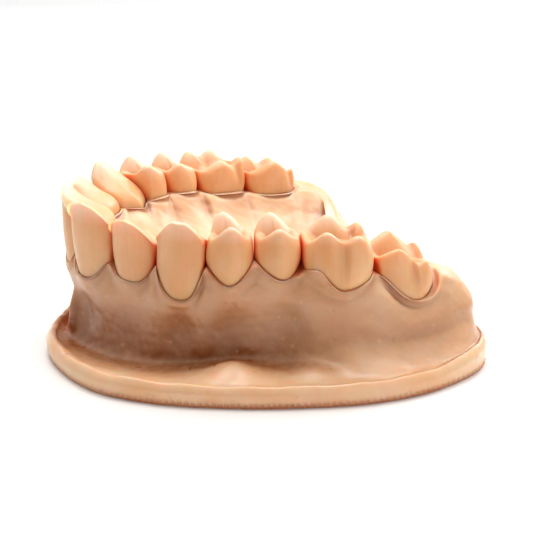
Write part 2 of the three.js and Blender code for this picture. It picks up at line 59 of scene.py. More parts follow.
SOCKET_GAP = 0.09  # clear space between a tooth and its socket
CONTACT_GAP = 0.03  # from a tooth to the plane that it shares with its neighbour
SEPTUM_GAP = 0.4  # the same lower down, where gum stands between the teeth
CONTACT_LEVEL = 16.8
SEPTUM_LEVEL = 15.0
CLAMP_SOFTNESS = 0.07  # roundness of the flat that a contact plane leaves on a tooth
STEM_BOTTOM = 6.3
SOCKET_FLOOR = 6.0
SOCKET_TOP = 26.0
STEM_HALF_WIDTH = 1.7
STEM_HALF_DEPTH = 1.9
NECK_DROP = 0.7
TAPER_HEIGHT = 2.2
BORE_RADIUS = 1.0
BORE_TOP = 10.2
RECESS_RADIUS = 1.8
RECESS_TOP = 4.5
RIM_WIDTH = 1.3

TOOTH_SIDES = 96
CROWN_RINGS = 46  # from the neck to the rim of the biting surface
TOP_RINGS = 30  # from that rim to the middle of the biting surface
SMOOTHED_BELOW_RIM = 30  # rings down the crown's side that the smoothing reaches
SMOOTHING_PASSES = 8
TOOTH_REACH = 9  # gum farther than this from a stem is clear of its tooth
BELOW_CROWNS = 8.5  # gum lower than this lies below every crown
LIP = 0.38  # thickness of the gum beside a tooth's neck
LIP_SOFTNESS = 0.1
CREST_ROUNDNESS = 0.7  # radius of the ridges of the biting surface
# How far the outer corners of the biting surface drop, towards the neighbouring teeth.
CORNER_DROP = {"incisor": 1.6, "canine": 2.0, "premolar": 0.6, "molar": 0.5}
# How soon the slope beside a ridge levels out, per millimetre away from it.
HOLLOW = {"incisor": 0.24, "canine": 0.13, "premolar": 0, "molar": 0}
FISSURE_SOFTNESS = 0.06

PROFILES = {
    "incisor": {
        "height": [0, 0.2, 0.42, 0.62, 0.9, 1],
        "width": [0.8, 0.9, 0.96, 1, 0.99, 0.95],
        "outer": [0.84, 0.95, 1.01, 1.03, 1.03, 1],
        "inner": [0.92, 1, 1, 1, 0.88, -0.6],
        "squareness": 2.3,
    },
    "canine": {
        "height": [0, 0.2, 0.42, 0.62, 0.88, 1],
        "width": [0.84, 0.93, 0.98, 1, 0.97, 0.88],
        "outer": [0.88, 1, 1.05, 1.07, 1.01, 0.95],
        "inner": [0.9, 1, 1, 1, 0.85, -0.3],
        "squareness": 2.2,
    },
    "premolar": {
        "height": [0, 0.2, 0.4, 0.6, 0.8, 1],
        "width": [0.62, 0.76, 0.9, 0.99, 1, 0.88],
        "outer": [0.88, 0.98, 1.02, 1, 0.93, 0.78],
        "inner": [0.9, 0.96, 1, 1, 0.94, 0.8],
        "squareness": 2.3,
    },
    "molar": {
        "height": [0, 0.2, 0.4, 0.6, 0.8, 1],
        "width": [0.85, 0.92, 0.97, 0.99, 1, 0.92],
        "outer": [0.9, 0.99, 1.02, 1, 0.95, 0.83],
        "inner": [0.9, 0.96, 1, 1, 0.95, 0.84],
        "squareness": 2.7,
    },
}


# Ridges of the biting surface, each from (along, outward, height) to the same at its end.
def incisor_ridges(reach, front, tip, back, half):
    return [
        (-half, reach - 0.2, front, -0.1 * half, reach, tip),
        (-0.1 * half, reach, tip, half, reach - 0.3, back),
    ]


def canine_ridges(front, tip, back):
    return [
        (-3.0, 2.6, front, -0.7, 3.3, tip),
        (-0.7, 3.3, tip, 0.7, 3.3, tip - 0.1),
        (0.7, 3.3, tip - 0.1, 3.1, 2.6, back),
        (0, 3.3, tip - 0.1, 0, 0.6, tip - 3),
    ]


def premolar_ridges(outer_tip, inner_tip, edge):
    valley = edge - 0.8
    return [
        (-2.5, 2.3, edge, 0, 2.9, outer_tip),
        (0, 2.9, outer_tip, 2.5, 2.3, edge),
        (0, 2.9, outer_tip, 0, 0.4, valley),
        (-2.4, -2.3, edge, -0.6, -2.7, inner_tip),
        (-0.6, -2.7, inner_tip, 2.2, -2.3, edge),
        (-0.6, -2.7, inner_tip, 0, -0.3, valley),
        (-2.5, 2.0, edge, -2.3, -2.0, edge),
        (2.5, 2.0, edge, 2.3, -2.0, edge),
    ]


def molar_ridges(front_outer, back_outer, front_inner, back_inner, drop, shift):
    front = min(front_outer, front_inner) - drop
    back = min(back_outer, back_inner) - drop
    pit = (front + back) / 2 - 0.7
    groove = min(front_outer, back_outer) - 0.6 * drop
    return [
        (-4.0, 3.0, front, shift - 2.5, 3.9, front_outer),
        (shift - 2.5, 3.9, front_outer, shift - 0.5, 3.7, groove),
        (shift - 0.4, 3.7, groove, shift + 1.7, 3.6, back_outer),
        (shift + 1.7, 3.6, back_outer, 4.2, 2.4, back),
        (-3.8, -2.4, front, shift - 1.2, -3.4, front_inner),
        (shift - 1.2, -3.4, front_inner, shift + 1.4, -3.4, back_inner - drop),
        (shift + 1.6, -3.4, back_inner - drop, shift + 2.8, -3.0, back_inner),
        (shift + 2.8, -3.0, back_inner, 4.3, -1.6, back),
        (-4.2, 2.8, front, -4.1, -2.2, front),
        (4.2, 2.4, back, 4.3, -1.6, back),
        (shift - 2.5, 3.9, front_outer, shift - 1.6, 0.8, pit),
        (shift + 1.7, 3.6, back_outer, shift + 1.0, 0.8, pit + 0.3),
        (shift - 1.2, -3.4, front_inner, shift - 1.0, -0.6, pit + 0.1),
        (shift - 1.0, -0.6, pit + 0.1, shift + 1.0, 0.8, pit + 0.3),
    ]


# From the midline back. turn: degrees away from the arch's own direction. steepness: of the
# slopes beside the ridges. gum: the lowest point of the outer margin, at the share zenith of
# the width, from which it rises with the power scallop. palatal: height of the inner margin.
# shift: how far behind the middle the grooves lie.
TEETH = [
    dict(name="central_incisor", kind="incisor", turn=16, width=8.7, depth=7.6, steepness=1.5,
         gum=11.6, zenith=0.5, scallop=2.9, palatal=16.4,
         ridges=incisor_ridges(3.7, 21.9, 22.4, 21.3, 3.9),
         left=dict(turn=12, ridges=incisor_ridges(3.7, 22.5, 22.9, 21.9, 3.9))),
    dict(name="lateral_incisor", kind="incisor", turn=5, width=7.4, depth=6.0, steepness=1.5,
         gum=12.6, zenith=0.5, scallop=2.9, palatal=16.9,
         ridges=incisor_ridges(2.8, 20.9, 21.2, 19.9, 3.2),
         left=dict(ridges=incisor_ridges(2.8, 21.9, 22.2, 21.0, 3.2))),
    dict(name="canine", kind="canine", turn=3, width=8.2, depth=7.8, steepness=1.2,
         gum=11.4, zenith=0.52, scallop=3.0, palatal=16.2,
         ridges=canine_ridges(20.7, 22.1, 20.1),
         left=dict(ridges=canine_ridges(21.4, 22.7, 20.8))),
    dict(name="first_premolar", kind="premolar", turn=12, width=6.8, depth=9.2, steepness=1.1,
         gum=14.0, zenith=0.5, scallop=1.7, palatal=16.8,
         ridges=premolar_ridges(21.7, 22.3, 20.0),
         left=dict(ridges=premolar_ridges(22.3, 21.9, 20.4))),
    dict(name="second_premolar", kind="premolar", turn=4, width=6.6, depth=9.2, steepness=1.1,
         gum=14.8, zenith=0.5, scallop=1.7, palatal=16.8,
         ridges=premolar_ridges(21.4, 22.2, 20.0),
         left=dict(ridges=premolar_ridges(21.9, 21.2, 20.0))),
    dict(name="first_molar", kind="molar", turn=-7, width=10.0, depth=11.2, steepness=1.0,
         gum=13.4, zenith=0.34, scallop=1.7, palatal=15.8, shift=0.7,
         ridges=molar_ridges(21.1, 20.4, 21.6, 20.6, 1.3, 0.7),
         left=dict(ridges=molar_ridges(21.1, 20.8, 20.6, 20.7, 1.3, 0.7))),
    dict(name="second_molar", kind="molar", turn=-14, width=9.5, depth=10.6, steepness=1.0,
         gum=10.6, zenith=0.6, scallop=2.0, palatal=14.6, shift=1.3,
         ridges=molar_ridges(17.8, 15.8, 18.3, 16.8, 1.0, 1.3),
         left=dict(gum=11.8, ridges=molar_ridges(19.3, 18.8, 19.8, 18.3, 1.2, 1.3))),
]
REAR_STEMS = [(21.4, 23.2), (9.0, 22.0)]

# ---- sizes of the gum and base ----

# One cross-section per station, from the front midline to the back: the flange's outline on
# the underside, the height of its face, and (distance out from the ridge line, height) of
# its top, of the sulcus and of the wall.
SECTIONS = [
    dict(edge=(4.6, -29.8), rim=3.0, shelf=(6.6, 2.3), foot=(4.2, 1.8), wall=(2.6, 6.8),
         left=dict(edge=(3.0, -27.5))),
    dict(edge=(18.0, -27.7), rim=3.0, shelf=(9.0, 2.4), foot=(4.2, 1.9), wall=(2.8, 6.8),
         left=dict(edge=(10.8, -22.9))),
    dict(edge=(25.6, -21.4), rim=3.0, shelf=(8.6, 2.6), foot=(3.7, 2.5), wall=(3.0, 7.2),
         left=dict(edge=(20.2, -16.4))),
    dict(edge=(30.9, -12.8), rim=2.9, shelf=(7.6, 3.6), foot=(3.6, 3.7), wall=(3.1, 8.2),
         left=dict(edge=(27.5, -10.0))),
    dict(edge=(34.2, -4.6), rim=2.9, shelf=(9.2, 3.2), foot=(5.0, 3.8), wall=(3.9, 9.0),
         left=dict(edge=(33.2, -3.2))),
    dict(edge=(36.5, 5.6), rim=2.9, shelf=(9.8, 3.2), foot=(8.2, 4.4), wall=(6.4, 9.0)),
    dict(edge=(35.4, 15.8), rim=3.0, shelf=(9.2, 3.2), foot=(7.9, 4.2), wall=(6.4, 8.0)),
    dict(edge=(29.2, 26.2), rim=4.0, shelf=(7.4, 4.6), foot=(6.6, 5.8), wall=(5.6, 8.9),
         left=dict(foot=(7.2, 6.6), wall=(6.7, 10.0))),
    dict(edge=(13.0, 29.2), rim=3.4, shelf=(5.4, 4.2), foot=(4.8, 5.2), wall=(4.0, 6.8),
         left=dict(shelf=(6.4, 4.4), foot=(5.9, 5.6), wall=(5.4, 7.6))),
]
PAPILLAE = [15.0, 14.9, 16.0, 16.4, 17.0, 16.5, 15.0]
BACK_MIDLINE = (8.8, 2.7, 2.6)
# Behind the last tooth, at the two rear stations and at the back midline: height of the
# ridge, and how far its shoulders stand out and in from the ridge line.
REAR_SHOULDERS = {
    "right": [(13.9, 4.2, 4.6), (12.7, 3.3, 4.0), (8.6, 2.6, 2.6), BACK_MIDLINE],
    "left": [(14.9, 4.6, 4.6), (14.5, 4.6, 4.0), (10.4, 2.8, 2.6), BACK_MIDLINE],
}
# Where each section reaches the midline of the palate: (y, height).
MIDLINE = [
    (-15.5, 15.4), (-13.0, 14.4), (-9.5, 12.6), (-5.5, 10.6), (-1.0, 9.2),
    (4.5, 8.3), (10.5, 7.8), (15.5, 7.7), (19.5, 7.9),
]

# How far the roots swell the outer wall, from the central incisor to behind the last molar.
ROOT_PLACES = [0.5, 1.5, 2.5, 3.5, 4.5, 5.5, 6.5, 7.2]
ROOT_SWELLS = [0.25, 0.25, 0.5, 0.35, 0.25, 0.25, 0.2, 0]

STATIONS = 2 * len(SECTIONS)
COLUMNS_PER_STATION = 48
# Rows of the gum's grid between the key points of a section, from the flange's foot over
# the ridge to the palate; they are closest at the margins of the gum.
ROWS_PER_SPAN = [12, 6, 8, 9, 10, 10, 12, 20, 30, 10, 6, 6, 8, 10, 30, 20, 16]
FLANGE_ROW = 9  # a row on the flange's face, which shows the way out from the ridge line

# ---- curves and grids ----


def spline(keys, places, closed=False):
    """Centripetal Catmull-Rom curves through keys (..., n, d), at places counted in keys."""
    count = keys.shape[-2]
    first = np.floor(places).astype(int)
    if closed:
        near = [np.take(keys, (first + k) % count, axis=-2) for k in (-1, 0, 1, 2)]
    else:
        first = np.clip(first, 0, count - 2)
        before = 2 * keys[..., :1, :] - keys[..., 1:2, :]
        after = 2 * keys[..., -1:, :] - keys[..., -2:-1, :]
        padded = np.concatenate([before, keys, after], axis=-2)
        near = [np.take(padded, first + k, axis=-2) for k in range(4)]
    share = (places - first)[:, None]
    steps = [
        np.maximum(((near[k + 1] - near[k]) ** 2).sum(-1, keepdims=True), 1e-9) ** 0.25
        for k in range(3)
    ]
    slopes = [(near[k + 1] - near[k]) / steps[k] for k in range(3)]
    spans = [(near[k + 2] - near[k]) / (steps[k] + steps[k + 1]) for k in range(2)]
    start = (slopes[0] - spans[0] + slopes[1]) * steps[1]
    end = (slopes[1] - spans[1] + slopes[2]) * steps[1]
    gap = near[2] - near[1]
    cubic = start + end - 2 * gap
    square = 3 * gap - 2 * start - end
    return near[1] + share * (start + share * (square + share * cubic))


def lengths_round_the_arch(right, left, stations):
    """A closed curve through one key per station, read at signed stations."""
    keys = np.array(list(right) + list(left)[::-1], float)
    return spline(keys, (stations - 0.5) % STATIONS, closed=True)


def round_the_arch(right, left, stations):
    """The same for points, whose x changes its sign on the left."""
    return lengths_round_the_arch(right, [(-p[0], *p[1:]) for p in left], stations)


def bump(x, middle, width):
    return np.exp(-(((x - middle) / width) ** 2))


def smoothstep(x, low, high):
    share = np.clip((x - low) / (high - low), 0, 1)
    return share * share * (3 - 2 * share)


def ripple(points, wavelength, seed, waves=14):
    """Smooth, seeded unevenness of about unit size, as a sum of plane waves."""
    random = np.random.default_rng(seed)
    total = np.zeros(points.shape[:-1])
    for _ in range(waves):
        direction = random.normal(size=3)
        direction /= np.linalg.norm(direction)
        length = wavelength * random.uniform(0.7, 1.6)
        phase = random.uniform(0, 2 * math.pi)
        total += np.sin(points @ direction * (2 * math.pi / length) + phase)
    return total / math.sqrt(waves / 2)


def blurred(values, width):
    """Smooths values along their first axis; width is the spread in samples."""
    reach = int(3 * width)
    weights = np.exp(-0.5 * (np.arange(-reach, reach + 1) / width) ** 2)
    weights /= weights.sum()
    padded = np.pad(values, ((reach, reach), (0, 0)), mode="reflect")
    columns = [np.convolve(column, weights, mode="valid") for column in padded.T]
    return np.array(columns).T


def grid_normals(grid):
    along = np.gradient(grid, axis=0)
    across = np.gradient(grid, axis=1)
    normals = np.cross(across, along)
    return normals / np.maximum(np.linalg.norm(normals, axis=-1, keepdims=True), 1e-9)


# ---- meshes ----


def new_object(name, data):
    obj = bpy.data.objects.new(name, data)
    bpy.context.scene.collection.objects.link(obj)
    return obj


def make_mesh(name, points, faces, sharp_degrees=38):
    """A smooth-shaded mesh object from points in millimetres, with its faces turned out."""
    mesh = bpy.data.meshes.new(name)
    mesh.from_pydata((np.asarray(points) * MM).tolist(), [], faces)
    obj = new_object(name, mesh)
    shade(obj, sharp_degrees)
    return obj


def shade(obj, sharp_degrees):
    work = bmesh.new()
    work.from_mesh(obj.data)
    bmesh.ops.recalc_face_normals(work, faces=work.faces)
    limit = math.radians(sharp_degrees)
    for face in work.faces:
        face.smooth = True
    for edge in work.edges:
        edge.smooth = edge.calc_face_angle(0) < limit
    work.to_mesh(obj.data)
    work.free()


def skin(first, rings, last):
    """Points and faces of a closed skin from rings (m, sides, 3) with a point at each end."""
    count, sides, _ = rings.shape
    points = np.vstack([first, rings.reshape(-1, 3), last])
    ring = 1 + np.arange(count * sides).reshape(count, sides)
    turned = np.roll(ring, -1, axis=1)
    quads = np.stack([ring[:-1], ring[1:], turned[1:], turned[:-1]], axis=-1).reshape(-1, 4)
    end = len(points) - 1
    bottom = [(0, int(a), int(b)) for a, b in zip(ring[0], turned[0])]
    top = [(end, int(b), int(a)) for a, b in zip(ring[-1], turned[-1])]
    return points, bottom + quads.tolist() + top


def mirrored(points, side):
    return points * (np.array([-1, 1, 1]) if side == "left" else 1)


# ---- teeth ----


def stem_of(name):
    """Where a tooth stands: the middle of its screw, in millimetres."""
    low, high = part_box(f"screw_{name}_right")
    return ((low[0] + high[0]) / 2 / MM, (low[1] + high[1]) / 2 / MM)


STEMS = [stem_of(tooth["name"]) for tooth in TEETH]
RIDGE_KEYS = STEMS + REAR_STEMS


def ridge_line(stations):
    return round_the_arch(RIDGE_KEYS, RIDGE_KEYS, stations)


def contact_plane(index):
    """A point and a normal of the plane between tooth index - 1 and tooth index."""
    if index == 0:
        return np.zeros(2), np.array([1.0, 0.0])
    if index == len(TEETH):
        return None
    a, b = np.array(STEMS[index - 1]), np.array(STEMS[index])
    share = TEETH[index - 1]["width"] / (TEETH[index - 1]["width"] + TEETH[index]["width"])
    return a + share * (b - a), (b - a) / np.linalg.norm(b - a)


def teeth_of(side):
    teeth = []
    for index, base in enumerate(TEETH):
        before, after = ridge_line(np.array([index + 0.49, index + 0.51]))
        angle = math.atan2(after[1] - before[1], after[0] - before[0])
        angle += math.radians(base["turn"])
        tooth = {**base, **(base.get("left", {}) if side == "left" else {})}
        tooth["stem"] = np.array(STEMS[index])
        tooth["back"] = np.array([math.cos(angle), math.sin(angle)])
        tooth["out"] = np.array([math.sin(angle), -math.cos(angle)])
        tooth["planes"] = (contact_plane(index), contact_plane(index + 1))
        tooth["neck"] = tooth["gum"] - NECK_DROP
        teeth.append(tooth)
    return teeth


def biting_height(tooth, u, v):
    """Ridges that fall away to both sides, with round crests and soft fissures."""
    heights = []
    for u1, v1, z1, u2, v2, z2 in tooth["ridges"]:
        du, dv = u2 - u1, v2 - v1
        share = np.clip(((u - u1) * du + (v - v1) * dv) / (du * du + dv * dv), 0, 1)
        away_squared = (u - u1 - share * du) ** 2 + (v - v1 - share * dv) ** 2
        away = np.sqrt(away_squared + CREST_ROUNDNESS**2) - CREST_ROUNDNESS
        eased = 0.45 * share + 0.55 * share * share * (3 - 2 * share)
        fall = tooth["steepness"] * away / (1 + HOLLOW[tooth["kind"]] * away)
        heights.append(z1 + eased * (z2 - z1) - fall)
    stack = np.array(heights) / FISSURE_SOFTNESS
    highest = stack.max(axis=0)
    surface = FISSURE_SOFTNESS * (highest + np.log(np.exp(stack - highest).sum(axis=0)))
    corner = (2 * np.abs(u) / tooth["width"]) ** 5 * smoothstep(v, -0.5, 2)
    return surface - CORNER_DROP[tooth["kind"]] * corner


def crown_relief(tooth, u, outward, share):
    """How far lobes and grooves stand out from a crown's plain side; outward is -1 to 1."""
    face = np.clip(outward, 0, 1)
    tongue_side = np.clip(-outward, 0, 1)
    if tooth["kind"] == "incisor":
        lobes = 0.09 * np.cos(2 * math.pi * u / (0.36 * tooth["width"]))
        rims = 0.45 * (bump(u, 0.4 * tooth["width"], 0.7) + bump(u, -0.4 * tooth["width"], 0.7))
        outer_relief = face * lobes * smoothstep(share, 0.3, 0.9)
        return outer_relief + tongue_side * rims * bump(share, 0.65, 0.3)
    if tooth["kind"] == "canine":
        middle = 0.3 * bump(u, 0, 1.3) - 0.12
        ridges = 0.55 * bump(u, 0, 1.0) + 0.4 * (bump(u, 3.1, 0.7) + bump(u, -3.1, 0.7))
        outer_relief = face * middle * bump(share, 0.7, 0.4)
        return outer_relief + tongue_side * ridges * bump(share, 0.6, 0.35)
    if tooth["kind"] == "premolar":
        middle = 0.22 * bump(u, 0, 1.1) - 0.08
        return face * middle * bump(share, 0.75, 0.4)
    groove = -0.85 * bump(u, tooth["shift"] - 0.45, 0.6) * smoothstep(share, 0.15, 0.9)
    inner_groove = -0.5 * bump(u, tooth["shift"] + 1.5, 0.6) * smoothstep(share, 0.35, 0.95)
    return face * groove + tongue_side * inner_groove


def place_rings(tooth, rings, grow=0.0):
    """Puts rings in space. A ring is (half width, outer, inner, squareness, level, share);
    where level is nan, share is how far it lies from the neck to the biting surface."""
    half_width, outer, inner, squareness, level, share = np.array(rings, float).T[:, :, None]
    angle = 2 * math.pi * np.arange(TOOTH_SIDES) / TOOTH_SIDES
    c, s = np.cos(angle), np.sin(angle)
    power = 2 / squareness
    cu = np.sign(c) * np.abs(c) ** power
    sv = np.sign(s) * np.abs(s) ** power
    middle, half_depth = (outer - inner) / 2, (outer + inner) / 2
    u, v = half_width * cu, middle + half_depth * sv
    relief = crown_relief(tooth, u, sv, share) * np.isnan(level)
    v = v + relief * np.sign(sv)
    z = tooth["neck"] + share * (biting_height(tooth, u, v) - tooth["neck"])
    z = np.where(np.isnan(level), z, level)
    u, v = u + grow * cu, v + grow * sv
    xy = tooth["stem"] + u[..., None] * tooth["back"] + v[..., None] * tooth["out"]
    levels, gaps = [SEPTUM_LEVEL, CONTACT_LEVEL], [SEPTUM_GAP, CONTACT_GAP]
    clearance = np.maximum(np.interp(z, levels, gaps) - grow, 0.02)
    for plane, facing in zip(tooth["planes"], (1, -1)):
        if plane is not None:
            point, normal = plane
            distance = facing * ((xy - point) @ normal)
            lack = (clearance - distance) / CLAMP_SOFTNESS
            push = CLAMP_SOFTNESS * np.logaddexp(0, lack)
            xy = xy + (facing * push)[..., None] * normal
    return np.concatenate([xy, z[..., None]], axis=-1)


def side_rings(tooth):
    """The rings of the stem and of the crown's side, from the stem's bottom up."""
    profile = PROFILES[tooth["kind"]]
    table = np.array([profile[key] for key in ("height", "width", "outer", "inner")], float).T
    fine = spline(table, np.linspace(0, len(table) - 1, CROWN_RINGS))
    half = np.array([tooth["width"], tooth["depth"], tooth["depth"]]) / 2
    share = np.clip(fine[:, 0], 0, 1)
    squareness = 2.1 + (profile["squareness"] - 2.1) * smoothstep(share, 0, 0.6)
    crown = [
        (*(half * sizes[1:]), square, np.nan, level)
        for sizes, square, level in zip(fine, squareness, share)
    ]
    stem_top = max(tooth["neck"] - TAPER_HEIGHT, STEM_BOTTOM + 1)
    stem = (STEM_HALF_WIDTH, STEM_HALF_DEPTH, STEM_HALF_DEPTH, 2.6)
    foot = tuple(0.9 * size for size in stem[:3]) + (2.6,)
    rings = [(*foot, STEM_BOTTOM, 0), (*stem, STEM_BOTTOM + 0.25, 0), (*stem, stem_top, 0)]
    for share in (0.25, 0.5, 0.75):
        size = [a + share * (b - a) for a, b in zip(stem, crown[0][:4])]
        rings.append((*size, stem_top + share * (tooth["neck"] - stem_top), 0))
    return rings + crown


def top_rings(rim):
    """The rim's ring shrunk step by step towards the middle of the biting surface."""
    half_width, outer, inner, squareness, _, _ = rim
    middle, half_depth = (outer - inner) / 2, (outer + inner) / 2
    rings = []
    for scale in np.linspace(0.97, 0.03, TOP_RINGS):
        half = half_depth * scale
        round_out = 2 + (squareness - 2) * scale
        size = (half_width * scale, half + middle, half - middle)
        rings.append((*size, round_out, np.nan, 1))
    return rings


def tooth_rings(tooth):
    """The rings of a whole tooth, smoothed along its length over the top of the crown."""
    rings = side_rings(tooth)
    placed = place_rings(tooth, rings + top_rings(rings[-1]))
    first = len(rings) - SMOOTHED_BELOW_RIM
    for _ in range(SMOOTHING_PASSES):
        ahead, behind = placed[first + 2:], placed[first:-2]
        placed[first + 1:-1] += 0.5 * ((ahead + behind) / 2 - placed[first + 1:-1])
    return placed


def bore_rings(tooth):
    """The screw's hole in the stem, with a small chamfer at its mouth."""
    places = [(BORE_RADIUS, BORE_TOP), (BORE_RADIUS, STEM_BOTTOM + 0.2), (1.15, STEM_BOTTOM)]
    return place_rings(tooth, [(r, r, r, 2, level, 0) for r, level in places])


def tooth_skin(tooth):
    rings = np.concatenate([bore_rings(tooth), tooth_rings(tooth)])
    apex = rings[-1].mean(axis=0)
    return skin([*tooth["stem"], BORE_TOP + 0.5], rings, apex)


def socket_skin(tooth):
    """What is cut from the gum: the screw's recess and hole, and a socket round the tooth."""
    rings = np.array(side_rings(tooth), float)
    rings[:, :3] = np.maximum.accumulate(rings[:, :3], axis=0)
    rings[0, 4] = SOCKET_FLOOR
    top = rings[-1].copy()
    top[4] = SOCKET_TOP
    socket = place_rings(tooth, [*rings, top], SOCKET_GAP)
    circle = [(RECESS_RADIUS + 0.15, -1), (RECESS_RADIUS + 0.15, 0.05), (RECESS_RADIUS, 0.2)]
    circle += [(RECESS_RADIUS, RECESS_TOP), (BORE_RADIUS, RECESS_TOP), (BORE_RADIUS, SOCKET_FLOOR)]
    hole = place_rings(tooth, [(r, r, r, 2, level, 0) for r, level in circle])
    rings = np.concatenate([hole, socket])
    return skin([*tooth["stem"], -1], rings, [*tooth["stem"], SOCKET_TOP])


# ---- screws ----

HEAD_RADIUS = 1.5
HEAD_BOTTOM = 3.2
HEAD_TOP = 4.45
SHANK_TOP = 9.6
THREAD_OUTER = 0.88
THREAD_INNER = 0.7
THREAD_PITCH = 0.4
HEX_RADIUS = 0.75  # to the corners of the driver's recess
HEX_DEPTH = 0.7
SCREW_SIDES = 24


def screw_skin():
    """A cap screw standing on its head: hex recess, knurled head, thread and dog point."""
    angle = 2 * math.pi * np.arange(SCREW_SIDES) / SCREW_SIDES
    sector = (angle + math.pi / 6) % (math.pi / 3) - math.pi / 6
    hexagon = HEX_RADIUS * math.cos(math.pi / 6) / np.cos(sector)
    round_ring = np.ones(SCREW_SIDES)
    knurl = 1 - 0.02 * (np.arange(SCREW_SIDES) % 2)
    floor = HEAD_BOTTOM + HEX_DEPTH
    rings = [
        (0.6 * hexagon, floor + 0.1),
        (hexagon, floor),
        (hexagon, HEAD_BOTTOM + 0.1),
        (1.1 * hexagon, HEAD_BOTTOM),
        (1.33 * round_ring, HEAD_BOTTOM),
        (1.46 * round_ring, HEAD_BOTTOM + 0.12),
        (HEAD_RADIUS * knurl, HEAD_BOTTOM + 0.25),
        (HEAD_RADIUS * knurl, HEAD_TOP - 0.15),
        (1.42 * round_ring, HEAD_TOP),
        (0.92 * round_ring, HEAD_TOP),
        (THREAD_INNER * round_ring, HEAD_TOP + 0.1),
    ]
    for z in np.arange(HEAD_TOP + 0.3, SHANK_TOP - 0.5, THREAD_PITCH / 8):
        turn = (z / THREAD_PITCH - angle / (2 * math.pi)) % 1
        crest = np.clip(1.4 - 2.8 * np.abs(turn - 0.5), 0, 1)
        fade = min(1.0, (z - HEAD_TOP) / 0.8, (SHANK_TOP - z) / 0.9)
        rings.append((THREAD_INNER + (THREAD_OUTER - THREAD_INNER) * crest * fade, z))
    rings += [
        (THREAD_INNER * round_ring, SHANK_TOP - 0.35),
        (0.5 * round_ring, SHANK_TOP - 0.1),
        (0.4 * round_ring, SHANK_TOP),
    ]
    placed = [
        np.stack([r * np.cos(angle), r * np.sin(angle), np.full(SCREW_SIDES, z)], axis=-1)
        for r, z in rings
    ]
    return skin([0, 0, floor + 0.15], np.array(placed), [0, 0, SHANK_TOP])


# ---- gum and base ----


def shoulders_at(teeth, rear, station):
    """Outer distance and height, inner distance and height, and the swell of the roots."""
    last = len(teeth)
    if station >= last:
        places = [last, last + 0.5, last + 1.5, last + 2]
        height, outer, inner = (np.interp(station, places, row) for row in zip(*rear))
        return outer, height, inner, height, outer
    index = int(station)
    tooth = teeth[index]
    share = station - index
    zenith = tooth["zenith"]
    away = 1 - share / zenith if share < zenith else (share - zenith) / (1 - zenith)
    near = index if share < zenith else index + 1
    neighbour = teeth[min(max(2 * near - index - 1, 0), last - 1)]
    between = (tooth["depth"] + neighbour["depth"]) / 4
    full = 0.475 * tooth["depth"] + 0.25
    waist, power = (0.64, 2) if near > 4 else (0.76, 3)
    papilla = PAPILLAE[near] if near < last else rear[0][0]
    palatal_between = (tooth["palatal"] + neighbour["palatal"]) / 2
    turned = (0.5 - share) * tooth["width"] * math.sin(math.radians(tooth["turn"]))
    turned *= 1 - away**3 if tooth["kind"] == "molar" else 0.7 * (1 - away**2)
    return (
        full + turned + (between * waist - full) * away**power,
        tooth["gum"] + (papilla - tooth["gum"]) * away ** tooth["scallop"],
        full - turned + (between * 0.8 - full) * away**3,
        tooth["palatal"] + (palatal_between - tooth["palatal"]) * away**2,
        full + (between * 0.9 - full) * away**2,
    )


